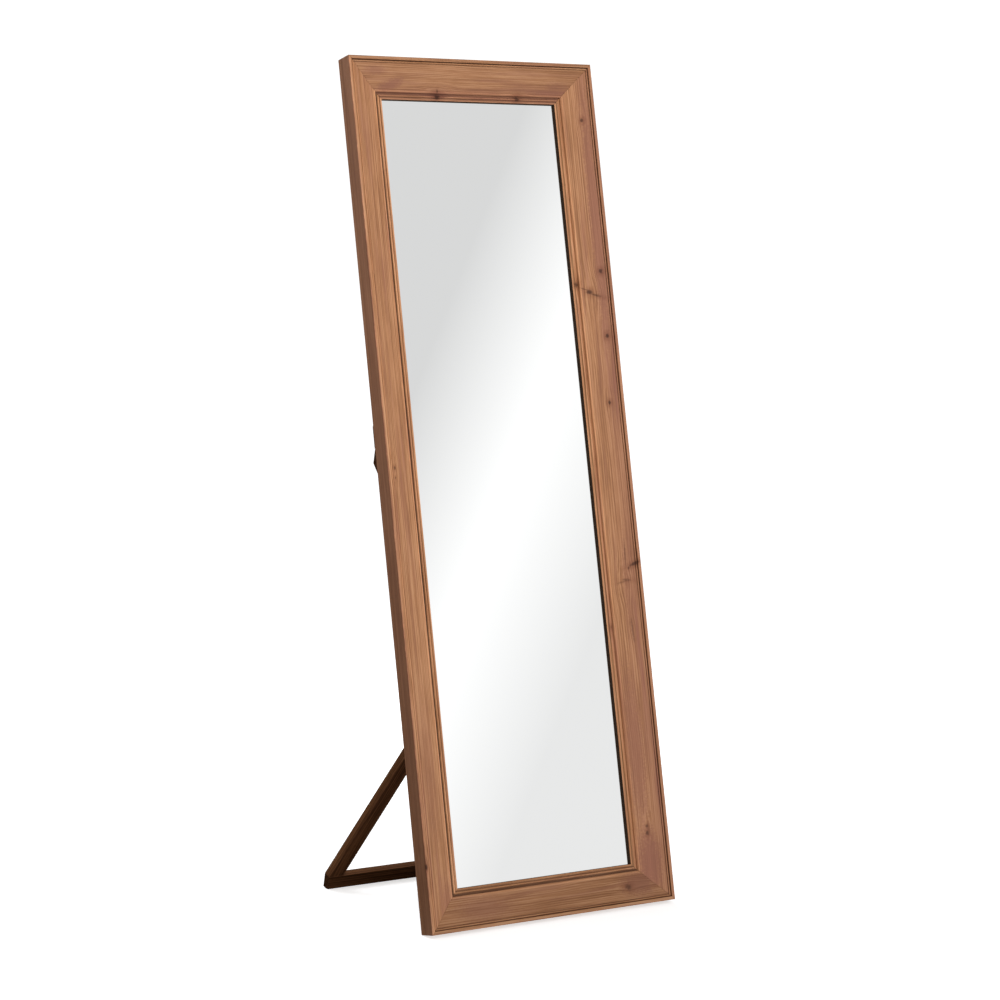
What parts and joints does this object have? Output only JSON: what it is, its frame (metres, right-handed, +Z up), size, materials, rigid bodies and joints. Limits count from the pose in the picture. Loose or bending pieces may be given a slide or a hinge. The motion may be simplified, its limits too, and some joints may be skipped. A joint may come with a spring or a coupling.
{
  "type": "leaning floor mirror",
  "caption": "Full-length floor mirror in a mitred moulded pine frame that leans on a folding X-shaped easel stand.",
  "frame": {"origin": "on the floor, under the middle of the whole object's box in X and Y, with the stand open", "axes": "+Z up; the mirror faces -Y and leans back towards +Y; +X is to the right for someone in front of the mirror who looks along +Y"},
  "size_m": [0.55, 0.474, 1.6573],
  "materials": {
    "stained_pine": "knotty pine, brown stain, satin",
    "stand_pine": "plain pine, brown stain, matt",
    "beech": "unfinished beech",
    "silvered_glass": "polished plate glass, silvered on its back",
    "hardboard": "raw brown hardboard",
    "hinge_brass": "brass-plated steel, satin",
    "zinc_steel": "bright zinc plate"
  },
  "bodies": {
    "mirror": {"backing_board": "hardboard", "batten_screw_left_lower": "zinc_steel", "batten_screw_left_upper": "zinc_steel", "batten_screw_right_lower": "zinc_steel", "batten_screw_right_upper": "zinc_steel", "clip_screw_bottom": "zinc_steel", "clip_screw_left_lower": "zinc_steel", "clip_screw_left_upper": "zinc_steel", "clip_screw_right_lower": "zinc_steel", "clip_screw_right_upper": "zinc_steel", "clip_screw_top": "zinc_steel", "corner_spline_bottom_left": "beech", "corner_spline_bottom_right": "beech", "corner_spline_top_left": "beech", "corner_spline_top_right": "beech", "frame_bottom_rail": "stained_pine", "frame_leaf_screw_left_a": "zinc_steel", "frame_leaf_screw_left_b": "zinc_steel", "frame_leaf_screw_right_a": "zinc_steel", "frame_leaf_screw_right_b": "zinc_steel", "frame_left_stile": "stained_pine", "frame_right_stile": "stained_pine", "frame_top_rail": "stained_pine", "hinge_frame_leaf_left": "hinge_brass", "hinge_frame_leaf_right": "hinge_brass", "hinge_pin_left": "zinc_steel", "hinge_pin_right": "zinc_steel", "mirror_glass": "silvered_glass", "retaining_clip_bottom": "zinc_steel", "retaining_clip_left_lower": "zinc_steel", "retaining_clip_left_upper": "zinc_steel", "retaining_clip_right_lower": "zinc_steel", "retaining_clip_right_upper": "zinc_steel", "retaining_clip_top": "zinc_steel", "stop_batten": "stand_pine"},
    "stand": {"brace_screw_foot_left": "zinc_steel", "brace_screw_foot_right": "zinc_steel", "brace_screw_top_left": "zinc_steel", "brace_screw_top_right": "zinc_steel", "hinge_stand_leaf_left": "hinge_brass", "hinge_stand_leaf_right": "hinge_brass", "lap_screw": "zinc_steel", "stand_brace_left_foot": "stand_pine", "stand_brace_right_foot": "stand_pine", "stand_foot_bar": "stand_pine", "stand_leaf_screw_left_a": "zinc_steel", "stand_leaf_screw_left_b": "zinc_steel", "stand_leaf_screw_right_a": "zinc_steel", "stand_leaf_screw_right_b": "zinc_steel", "stand_top_bar": "stand_pine"}
  },
  "joints": [
    {"name": "stand_fold", "type": "hinge", "parent": "mirror", "child": "stand", "pos_m": [0, -0.01562, 0.90001], "axis": [1, 0, 0], "range_deg": [-25.3, 0]}
  ]
}
